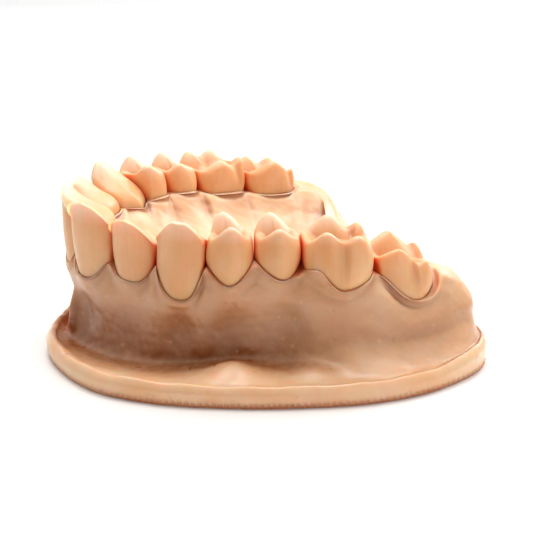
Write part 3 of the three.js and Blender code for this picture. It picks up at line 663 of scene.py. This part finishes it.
def section_keys(side, stations):
    """The key points of every section, (stations, keys, 3), from the flange to the palate."""
    sign = -1 if side == "left" else 1
    signed = sign * stations
    left = [{**section, **section.get("left", {})} for section in SECTIONS]
    centre = ridge_line(stations)

    def keys_of(key):
        return [s[key] for s in SECTIONS], [s[key] for s in left], signed

    edge = round_the_arch(*keys_of("edge")) * [sign, 1]
    edge[:, 0] -= edge[0, 0] * (1 - smoothstep(stations, 0, 1))
    edge[:, 0] -= edge[-1, 0] * smoothstep(stations, STATIONS / 2 - 1, STATIONS / 2)
    rims = [(0, section["rim"]) for section in SECTIONS]
    rim = lengths_round_the_arch(rims, rims, stations)[:, 1]
    shelf, shelf_z = lengths_round_the_arch(*keys_of("shelf")).T
    foot, foot_z = lengths_round_the_arch(*keys_of("foot")).T
    wall, wall_z = lengths_round_the_arch(*keys_of("wall")).T
    middle_y, middle_z = lengths_round_the_arch(MIDLINE, MIDLINE, stations).T
    teeth = teeth_of(side)
    rear = REAR_SHOULDERS[side]
    shoulders = np.array([shoulders_at(teeth, rear, station) for station in stations])
    behind = smoothstep(stations, len(teeth) - 0.2, len(teeth) + 0.6)[:, None]
    shoulders = blurred(shoulders, 2.2) * (1 - behind) + blurred(shoulders, 14) * behind
    height, outward, inward = BACK_MIDLINE
    midline = np.array([outward, height, inward, height, outward])
    dome = behind[:, 0]
    last = smoothstep(stations, len(SECTIONS) - 0.6, len(SECTIONS))[:, None]
    outer, outer_z, inner, inner_z, swell = (shoulders * (1 - last) + midline * last).T
    reach = np.linalg.norm(edge - centre, axis=1)
    out = (edge - centre) / reach[:, None]
    band = reach - RIM_WIDTH
    shelf = np.minimum(shelf, band - 0.5)
    foot = np.minimum(foot, shelf - 0.5)
    wall = np.minimum(wall, foot - 0.4)

    under_margin = np.minimum(0.35 * wall_z + 0.65 * outer_z, outer_z - 0.7 - dome)

    def at(distance, height):
        xy = centre + out * np.reshape(distance, (-1, 1))
        return np.column_stack([xy, np.broadcast_to(height, len(xy))])

    inside = at(-inner, inner_z)
    end = np.column_stack([np.zeros_like(middle_y), middle_y, middle_z])

    def palate(share, height_share):
        point = inside + share * (end - inside)
        point[:, 2] = inner_z + height_share * (middle_z - inner_z)
        return point

    keys = [
        at(reach - 0.3, 0),
        at(reach, rim - 1.0),
        at(reach - 0.7, rim - 0.05),
        at(band, rim - 0.1),
        at(shelf, shelf_z),
        at(foot, foot_z),
        at(0.25 * foot + 0.75 * wall, 0.6 * foot_z + 0.4 * wall_z),
        at(wall, wall_z),
        at(0.25 * wall + 0.75 * swell, under_margin),
        at(outer, outer_z - 0.3 - dome),
        at(outer - 0.5 - dome, outer_z - 0.3 * dome),
        at(np.maximum(outer - 2.2, 0.3 * outer), outer_z + 0.2),
        at(0, np.maximum(outer_z, inner_z)),
        at(0.5 - inner, inner_z),
        inside,
        palate(0.2, 0.42),
        palate(0.52, 0.84),
        end,
    ]
    return np.stack(keys, axis=1)


def row_places():
    """Where the grid's rows lie along a section, counted in key points."""
    spans = [i + np.arange(rows) / rows for i, rows in enumerate(ROWS_PER_SPAN)]
    return np.append(np.concatenate(spans), len(ROWS_PER_SPAN))


def distances_to_teeth(side, grid, reach=3.0):
    """Signed distance from each point to a side's nearest tooth, negative inside it."""
    points = grid.reshape(-1, 3)
    result = np.full(len(points), reach)
    for tooth in teeth_of(side):
        tree = BVHTree.FromPolygons(*map(list, tooth_skin(tooth)))
        inside = Vector((*(tooth["stem"] + 1.3 * tooth["out"]), tooth["neck"]))
        spot, normal, _, _ = tree.find_nearest(inside)
        outwards = -1 if (inside - spot).dot(normal) > 0 else 1
        close = np.linalg.norm(points[:, :2] - tooth["stem"], axis=1) < TOOTH_REACH
        for i in np.flatnonzero(close & (points[:, 2] > BELOW_CROWNS)):
            point = Vector(points[i])
            spot, normal, _, distance = tree.find_nearest(point, reach)
            if spot is not None:
                signed = math.copysign(distance, (point - spot).dot(normal) * outwards)
                result[i] = min(result[i], signed)
    return result.reshape(grid.shape[:2])


def keep_lip(side, grid, stations, places):
    """Draws the gum's margin in to the teeth, then keeps its walls a lip's thickness away."""
    outer_side = smoothstep(places, 6.5, 7.5) * smoothstep(-places, -10.3, -9.7)
    inner_side = smoothstep(places, 13.1, 13.7) * smoothstep(-places, -15.2, -14.4)
    margin = smoothstep(places, 7.6, 8.8) * smoothstep(-places, -10.6, -10.1)
    beside_teeth = smoothstep(-stations, -6.9, -6.5)[:, None]
    away = grid[:, FLANGE_ROW, :2] - ridge_line(stations)
    away = away / np.linalg.norm(away, axis=1, keepdims=True)
    for hug in (0.8, 0, 0, 0):
        distance = distances_to_teeth(side, grid)
        push = LIP_SOFTNESS * np.logaddexp(0, (LIP - distance) / LIP_SOFTNESS)
        pull = hug * np.clip(distance - LIP - 0.1, 0, 1.1) * margin * beside_teeth
        amount = blurred(push * (outer_side - inner_side) - pull, 2)
        grid[..., :2] += amount[..., None] * away[:, None, :]
        grid[[0, -1], :, 0] = 0
    return grid


def palate_relief(points):
    """Folds, midline seam and front papilla of the palate, as extra height."""
    x, y = np.abs(points[..., 0]), points[..., 1]
    total = 0.22 * bump(x, 0, 0.9) * smoothstep(y, -9, -5) * smoothstep(-y, -16, -10)
    total += 0.9 * bump(x, 0, 1.5) * bump(y, -13.6, 2.2)
    folds = [
        (-12.4, 0.16, 7.2, 0.75),
        (-9.6, 0.3, 8.4, 0.7),
        (-6.6, 0.42, 8.6, 0.55),
        (-3.6, 0.5, 7.6, 0.3),
    ]
    for start, slope, reach, height in folds:
        line = start + slope * x + 0.5 * np.sin(1.1 * x + start)
        window = smoothstep(x, 1.0, 2.6) * smoothstep(-x, -reach, -reach + 2.5)
        total += height * window * bump(y, line, 0.85)
    return total


def flange_relief(points, stations, places):
    """Uneven rim and slanted tool marks on the flange's face, as outward distance."""
    on_flange = smoothstep(-places, -3.6, -2.8)
    edge = bump(places, 2.4, 0.9)
    around = 16 * stations
    wave = 0.07 * np.sin(0.5 * around) + 0.02 * np.sin(1.3 * around + 1)
    slant = around * 4.5 + 2.4 * places
    marks = -0.2 * smoothstep(np.sin(slant), 0.3, 0.9) * smoothstep(-points[..., 2], -1.1, -0.5)
    marks *= smoothstep(stations, 1.2, 2.2)
    return on_flange * (edge * wave + marks * smoothstep(points[..., 2], 0.1, 0.3))


def sulcus_relief(points):
    """Mounds and hollows beside the wall as extra height, and the lip's frenum as forward reach."""
    x, y, z = points[..., 0], points[..., 1], points[..., 2]
    low = smoothstep(-z, -9, -5)

    def mound(px, py, wide, deep, turn):
        c, s = math.cos(turn), math.sin(turn)
        along, across = (x - px) * c + (y - py) * s, (y - py) * c - (x - px) * s
        return np.exp(-((along / wide) ** 2) - (across / deep) ** 2)

    lift = 1.1 * mound(27.6, -11.2, 4.8, 3.2, -0.6) * low
    lift += 0.5 * mound(30.2, -1.2, 2.8, 2.2, 0.3) * low
    lift -= 0.5 * mound(22.6, -8.4, 2.6, 2.0, 1.2) * low
    lift += 0.5 * mound(33.5, 9.0, 2.6, 1.4, 1.3) * low
    web = bump(x, 0, 0.75) * smoothstep(-y, 20, 24)
    web = web * smoothstep(z, 1.6, 3.5) * smoothstep(-z, -10, -6)
    return lift, 1.1 * web


def relieved(side, grid, stations, places):
    """The grid of one half moved by everything that makes the gum uneven."""
    grid = keep_lip(side, grid, stations, places)
    normals = grid_normals(grid)
    normals[..., 0] *= smoothstep(grid[..., 0], 0, 0.4)
    real = mirrored(grid, side)
    station = np.broadcast_to(stations[:, None], grid.shape[:2])
    place = np.broadcast_to(places[None, :], grid.shape[:2])
    on_gum = smoothstep(place, 3.4, 5) * smoothstep(-place, -17.5, -16.5)
    moved = 0.08 * ripple(real, 6.0, 11) * on_gum
    moved = moved + 0.012 * ripple(real, 1.3, 12) * on_gum
    moved = moved + 0.02 * ripple(real, 2.4, 13) * smoothstep(-place, -5, -3)
    distance = distances_to_teeth(side, grid)
    roll = 0.16 * bump(distance, 0.5, 0.35) - 0.08 * bump(distance, 0, 0.2)
    moved = moved + roll * smoothstep(place, 7, 8)
    root = -np.cos(2 * math.pi * stations) * np.interp(stations, ROOT_PLACES, ROOT_SWELLS)
    on_wall = smoothstep(places, 4.8, 6.8) * smoothstep(-places, -8.3, -7.3)
    moved = moved + root[:, None] * on_wall
    lift, web = sulcus_relief(grid)
    flange = flange_relief(grid, station, place)
    result = grid + normals * (moved + flange)[..., None]
    result[..., 1] -= web * smoothstep(place, 4.4, 5.4)
    palate = smoothstep(place, 13.9, 15.0)
    result[..., 2] += lift * smoothstep(place, 2.6, 4) * smoothstep(-place, -8, -6.5)
    result[..., 2] += palate * palate_relief(real)
    result[:, 0] = grid[:, 0]
    return result


def half_grid(side):
    stations = np.arange(len(SECTIONS) * COLUMNS_PER_STATION + 1) / COLUMNS_PER_STATION
    places = row_places()
    grid = spline(section_keys(side, stations), places)
    grid[[0, -1], :, 0] = 0
    grid[:, -1, 0] = 0
    return mirrored(relieved(side, grid, stations, places), side)


def join_halves(right, left):
    """Both halves as one closed mesh, with the midline's points shared."""
    for edge in (np.s_[0, :], np.s_[-1, :], np.s_[:, -1]):
        shared = (right[edge] + left[edge]) / 2
        shared[:, 0] = 0
        right[edge] = shared
    columns, rows, _ = right.shape
    index = np.arange(columns * rows).reshape(columns, rows)
    other = index + columns * rows
    other[[0, -1], :] = index[[0, -1], :]
    other[:, -1] = index[:, -1]
    floor_start = 2 * columns * rows
    floor = floor_start + np.arange(columns)
    floor_points = np.column_stack([np.zeros(columns), right[:, -1, 1], np.zeros(columns)])
    floor_points[[0, -1], 1] = right[[0, -1], 0, 1]
    floor[[0, -1]] = index[[0, -1], 0]
    faces = []
    for half in (index, other):
        full = np.concatenate([half, floor[:, None]], axis=1)
        quads = np.stack([half[:-1, :-1], half[1:, :-1], half[1:, 1:], half[:-1, 1:]], axis=-1)
        faces += quads.reshape(-1, 4).tolist()
        for c in range(columns - 1):
            corners = [full[c, 0], full[c + 1, 0], full[c + 1, -1], full[c, -1]]
            faces.append([int(v) for v in dict.fromkeys(corners)])
    points = np.vstack([right.reshape(-1, 3), left.reshape(-1, 3), floor_points])
    used = np.unique(np.concatenate([index.ravel(), other.ravel(), floor]))
    renumber = np.full(len(points), -1)
    renumber[used] = np.arange(len(used))
    faces = [[int(renumber[v]) for v in face] for face in faces]
    return points[used], faces


def gum_object():
    """The gum and base as one piece, with a screw hole and a socket cut for every tooth."""
    points, faces = join_halves(half_grid("right"), half_grid("left"))
    gum = make_mesh("gum_and_base", points, faces)
    cutter_points, cutter_faces = [], []
    count = 0
    for side in SIDES:
        for tooth in teeth_of(side):
            points, faces = socket_skin(tooth)
            cutter_points.append(mirrored(points, side))
            cutter_faces += [[v + count for v in face] for face in faces]
            count += len(points)
    cutter = make_mesh("socket_cutter", np.vstack(cutter_points), cutter_faces)
    cut = gum.modifiers.new("sockets", "BOOLEAN")
    cut.operation = "DIFFERENCE"
    cut.solver = "MANIFOLD"
    cut.object = cutter
    graph = bpy.context.evaluated_depsgraph_get()
    finished = bpy.data.meshes.new_from_object(gum.evaluated_get(graph), depsgraph=graph)
    gum.modifiers.clear()
    gum.data = finished
    bpy.data.objects.remove(cutter)
    shade(gum, 50)
    return gum


# ---- materials ----


def new_material(name):
    material = bpy.data.materials.new(name)
    material.use_nodes = True
    return material, material.node_tree, material.node_tree.nodes["Principled BSDF"]


def set_inputs(node, values):
    for key, value in values.items():
        node.inputs[key].default_value = value


def add_node(tree, kind, values=None, **settings):
    node = tree.nodes.new(kind)
    for key, value in settings.items():
        setattr(node, key, value)
    set_inputs(node, values or {})
    return node


def mixed(tree, factor, a, b):
    """A colour mix; each of factor, a and b is a value or another node's output."""
    node = add_node(tree, "ShaderNodeMix", data_type="RGBA")
    for socket, value in ((node.inputs[0], factor), (node.inputs[6], a), (node.inputs[7], b)):
        if isinstance(value, bpy.types.NodeSocket):
            tree.links.new(value, socket)
        else:
            socket.default_value = value
    return node.outputs[2]


def ranged(tree, value, low, high, to_low=0.0, to_high=1.0):
    values = {"From Min": low, "From Max": high, "To Min": to_low, "To Max": to_high}
    node = add_node(tree, "ShaderNodeMapRange", values)
    tree.links.new(value, node.inputs["Value"])
    return node.outputs["Result"]


def noise(tree, coordinates, scale, detail=3.0, stretch=(1, 1, 1)):
    """Noise with features about 1/scale metres across, stretched by the shares given."""
    mapping = add_node(tree, "ShaderNodeMapping", {"Scale": stretch})
    texture = add_node(tree, "ShaderNodeTexNoise", {"Scale": scale, "Detail": detail})
    tree.links.new(coordinates, mapping.inputs["Vector"])
    tree.links.new(mapping.outputs["Vector"], texture.inputs["Vector"])
    return texture.outputs["Fac"]


def specks(tree, coordinates, scale, size):
    """Sparse round dots, 1 at their middle, from a Voronoi cell's distance."""
    texture = add_node(tree, "ShaderNodeTexVoronoi", {"Scale": scale, "Randomness": 1.0})
    tree.links.new(coordinates, texture.inputs["Vector"])
    return ranged(tree, texture.outputs["Distance"], size, 0.4 * size)


def add_bump(tree, shader, layers):
    """Chains bump nodes; a layer is (height output, strength, distance in metres)."""
    normal = None
    for height, strength, distance in layers:
        node = add_node(tree, "ShaderNodeBump", {"Strength": strength, "Distance": distance})
        tree.links.new(height, node.inputs["Height"])
        if normal is not None:
            tree.links.new(normal, node.inputs["Normal"])
        normal = node.outputs["Normal"]
    tree.links.new(normal, shader.inputs["Normal"])


def openness(tree, reach, low, high):
    """How open to the sky round it a spot of the piece is, within reach metres."""
    settings = {"samples": 8, "only_local": reach > 0.004}
    node = add_node(tree, "ShaderNodeAmbientOcclusion", {"Distance": reach}, **settings)
    return ranged(tree, node.outputs["AO"], low, high)


def height_of(tree, vector):
    """The Z part of a vector output."""
    node = add_node(tree, "ShaderNodeSeparateXYZ")
    tree.links.new(vector, node.inputs[0])
    return node.outputs["Z"]


def resin_material(name, tone, warm, shade_and_line_tone, deep, gloss, glow, streaks):
    """Cured resin: translucent, mottled, with fine marks and specks; painted shade makes it dark
    red-brown in crevices and closed-in spots and darker on steep gum walls, and painted light makes
    the teeth paler towards their tips.
    """
    material, tree, shader = new_material(name)
    place = add_node(tree, "ShaderNodeTexCoord").outputs["Object"]
    mottling = ranged(tree, noise(tree, place, 160), 0.35, 0.65)
    colour = mixed(tree, mottling, tone, warm)
    # Painted shade: spots closed in within 9 mm are darkened towards the third colour, a shade tone.
    colour = mixed(tree, openness(tree, 0.009, 0.62, 1.0), shade_and_line_tone, colour)
    fine = ranged(tree, noise(tree, place, 900, 4), 0.4, 0.7, 0.0, 0.25)
    colour = mixed(tree, fine, colour, warm)
    if streaks:
        # The print's layer lines, a real mark, take the same dark tone.
        lines = ranged(tree, noise(tree, place, 2200, 2, (1, 1, 0.04)), 0.45, 0.75, 0, 0.1)
        colour = mixed(tree, lines, colour, shade_and_line_tone)
        # Painted light: the teeth turn pale near their tips, from 19.5 mm up.
        painted_tip_light = ranged(tree, height_of(tree, place), 0.0195, 0.0225, 0, 0.7)
        colour = mixed(tree, painted_tip_light, colour, (0.97, 0.82, 0.66, 1))
    else:
        # Painted shade: on the gum, walls above the rim are darkened towards the shade tone the more
        # steeply they face away from up.
        facing = add_node(tree, "ShaderNodeNewGeometry").outputs["Normal"]
        steep_shade = ranged(tree, height_of(tree, facing), 0.8, 0.2, 0, 0.32)
        above_rim = ranged(tree, height_of(tree, place), 0.003, 0.006)
        wall = add_node(tree, "ShaderNodeMath", operation="MULTIPLY")
        tree.links.new(steep_shade, wall.inputs[0])
        tree.links.new(above_rim, wall.inputs[1])
        colour = mixed(tree, wall.outputs[0], colour, shade_and_line_tone)
    # Painted shade: crevices and tight gaps within 1.8 mm go dark red-brown, towards the fourth
    # colour.
    colour = mixed(tree, openness(tree, 0.0018, 0.15, 0.75), deep, colour)
    dots = specks(tree, place, 420, 0.16)
    colour = mixed(tree, ranged(tree, dots, 0, 1, 0, 0.35), colour, warm)
    tree.links.new(colour, shader.inputs["Base Color"])
    roughness = ranged(tree, noise(tree, place, 500, 4), 0.3, 0.7, gloss - 0.08, gloss + 0.1)
    tree.links.new(roughness, shader.inputs["Roughness"])
    set_inputs(shader, {"IOR": 1.5, "Coat Weight": 0.15, "Coat Roughness": 0.18})
    scatter = {"Weight": 0.85, "Radius": (1.0, 0.42, 0.18), "Scale": glow}
    set_inputs(shader, {f"Subsurface {key}": value for key, value in scatter.items()})
    layers = [(noise(tree, place, 700, 5), 0.25, 0.00008), (dots, 0.4, 0.00004)]
    if streaks:
        layers.append((noise(tree, place, 2600, 2, (1, 1, 0.05)), streaks, 0.00005))
    add_bump(tree, shader, layers)
    return material


def steel_material():
    """Turned stainless steel, with fine rings round the axis and worn patches."""
    material, tree, shader = new_material("machined_steel")
    place = add_node(tree, "ShaderNodeTexCoord").outputs["Object"]
    wear = ranged(tree, noise(tree, place, 900, 4), 0.35, 0.7)
    colour = mixed(tree, wear, (0.56, 0.57, 0.6, 1), (0.42, 0.42, 0.44, 1))
    tree.links.new(colour, shader.inputs["Base Color"])
    shader.inputs["Metallic"].default_value = 1.0
    roughness = ranged(tree, noise(tree, place, 2400, 3), 0.3, 0.7, 0.22, 0.42)
    tree.links.new(roughness, shader.inputs["Roughness"])
    rings = noise(tree, place, 6000, 2, (0.1, 0.1, 1))
    add_bump(tree, shader, [(rings, 0.3, 0.00002)])
    return material


def floor_material():
    material, tree, shader = new_material("floor_white")
    place = add_node(tree, "ShaderNodeTexCoord").outputs["Object"]
    shade_of_white = ranged(tree, noise(tree, place, 14), 0, 1)
    colour = mixed(tree, shade_of_white, (0.93, 0.93, 0.93, 1), (0.96, 0.96, 0.96, 1))
    tree.links.new(colour, shader.inputs["Base Color"])
    set_inputs(shader, {"Roughness": 0.35, "Specular IOR Level": 0.3})
    return material


# ---- the object ----


def finish_piece(obj, material, node, body):
    obj.data.materials.clear()
    obj.data.materials.append(material)
    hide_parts(node)
    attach(obj, body)


def build_object():
    # In each resin the third colour is a painted shade tone (on the teeth also the print lines'
    # tone), and the fourth is painted crevice shade.
    gum_resin = resin_material(
        "gum_resin", (0.96, 0.62, 0.38, 1), (0.90, 0.52, 0.28, 1), (0.36, 0.11, 0.026, 1),
        (0.52, 0.10, 0.02, 1), 0.34, 0.0005, 0)
    tooth_resin = resin_material(
        "tooth_resin", (0.90, 0.53, 0.27, 1), (0.85, 0.44, 0.19, 1), (0.66, 0.24, 0.06, 1),
        (0.80, 0.13, 0.018, 1), 0.4, 0.0016, 0.5)
    steel = steel_material()
    finish_piece(gum_object(), gum_resin, "arch_body", "arch")
    for side in SIDES:
        for tooth in teeth_of(side):
            label = f"{tooth['name']}_{side}"
            points, faces = tooth_skin(tooth)
            crown = make_mesh("resin_" + label, mirrored(points, side), faces, 60)
            finish_piece(crown, tooth_resin, label, label)
            points, faces = screw_skin()
            x, y = mirrored(np.array([*tooth["stem"], 0]), side)[:2]
            screw = make_mesh("steel_screw_" + label, points + np.array([x, y, 0]), faces, 30)
            finish_piece(screw, steel, "screw_" + label, "screw_" + label)


# ---- floor, light and camera ----

VIEW_AZIMUTH = math.radians(67.48)
VIEW_ELEVATION = math.radians(16.91)
VIEW_DISTANCE = 0.20995
VIEW_TARGET = Vector((0, 0.00517, 0.00848))
LENS_MM = 93.76
SENSOR_MM = 36.0


def build_floor():
    size = 0.9
    points = [(x * size / MM, y * size / MM, -0.02) for x, y in ((-1, -1), (1, -1), (1, 1), (-1, 1))]
    floor = make_mesh("floor", points, [(0, 1, 2, 3)])
    floor.data.materials.append(floor_material())


def direction(azimuth, elevation):
    """Unit vector towards a viewpoint at these angles in radians, 0 being the front."""
    level = math.cos(elevation)
    return Vector((math.sin(azimuth) * level, -math.cos(azimuth) * level, math.sin(elevation)))


def aim(obj, away, distance):
    """Puts a camera or light this far from the target, facing it."""
    obj.location = VIEW_TARGET + distance * away
    obj.rotation_euler = away.to_track_quat("Z", "Y").to_euler()


def build_camera():
    camera = new_object("camera", bpy.data.cameras.new("camera"))
    aim(camera, direction(VIEW_AZIMUTH, VIEW_ELEVATION), VIEW_DISTANCE)
    camera.data.lens = LENS_MM
    camera.data.sensor_width = SENSOR_MM
    camera.data.clip_start = 0.005
    bpy.context.scene.camera = camera


def add_area_light(name, azimuth, elevation, distance, size, power, colour=(1, 1, 1)):
    """A square light aimed at the object, placed by angles in degrees round it."""
    light = new_object(name, bpy.data.lights.new(name, "AREA"))
    light.data.size = size
    light.data.energy = power
    light.data.color = colour
    aim(light, direction(math.radians(azimuth), math.radians(elevation)), distance)


def build_world():
    """White to the camera; as light, bright from above and behind and dim from the front."""
    world = bpy.data.worlds.new("studio")
    bpy.context.scene.world = world
    world.use_nodes = True
    tree = world.node_tree
    background = tree.nodes["Background"]
    ray = add_node(tree, "ShaderNodeLightPath").outputs["Is Camera Ray"]
    place = add_node(tree, "ShaderNodeTexCoord").outputs["Generated"]
    dot = add_node(tree, "ShaderNodeVectorMath", operation="DOT_PRODUCT")
    tree.links.new(place, dot.inputs[0])
    dot.inputs[1].default_value = direction(VIEW_AZIMUTH + math.pi, math.radians(35))
    glow = ranged(tree, dot.outputs["Value"], -0.6, 0.9, 0.07, 0.85)
    strength = add_node(tree, "ShaderNodeMix", {"B": 1.0})
    tree.links.new(ray, strength.inputs["Factor"])
    tree.links.new(glow, strength.inputs["A"])
    tree.links.new(strength.outputs["Result"], background.inputs["Strength"])
    background.inputs["Color"].default_value = (1, 1, 1, 1)


def build_studio():
    build_floor()
    build_camera()
    build_world()
    back = math.degrees(VIEW_AZIMUTH) + 180
    add_area_light("overhead", back, 72, 0.45, 0.35, 2.0, (1, 0.99, 0.97))
    add_area_light("rim", back - 40, 30, 0.5, 0.25, 0.9)
    add_area_light("front_fill", math.degrees(VIEW_AZIMUTH) + 35, 16, 0.6, 0.4, 0.7)
    bpy.context.scene.view_settings.view_transform = "Standard"


build_object()
build_studio()

bpy.context.view_layer.update()
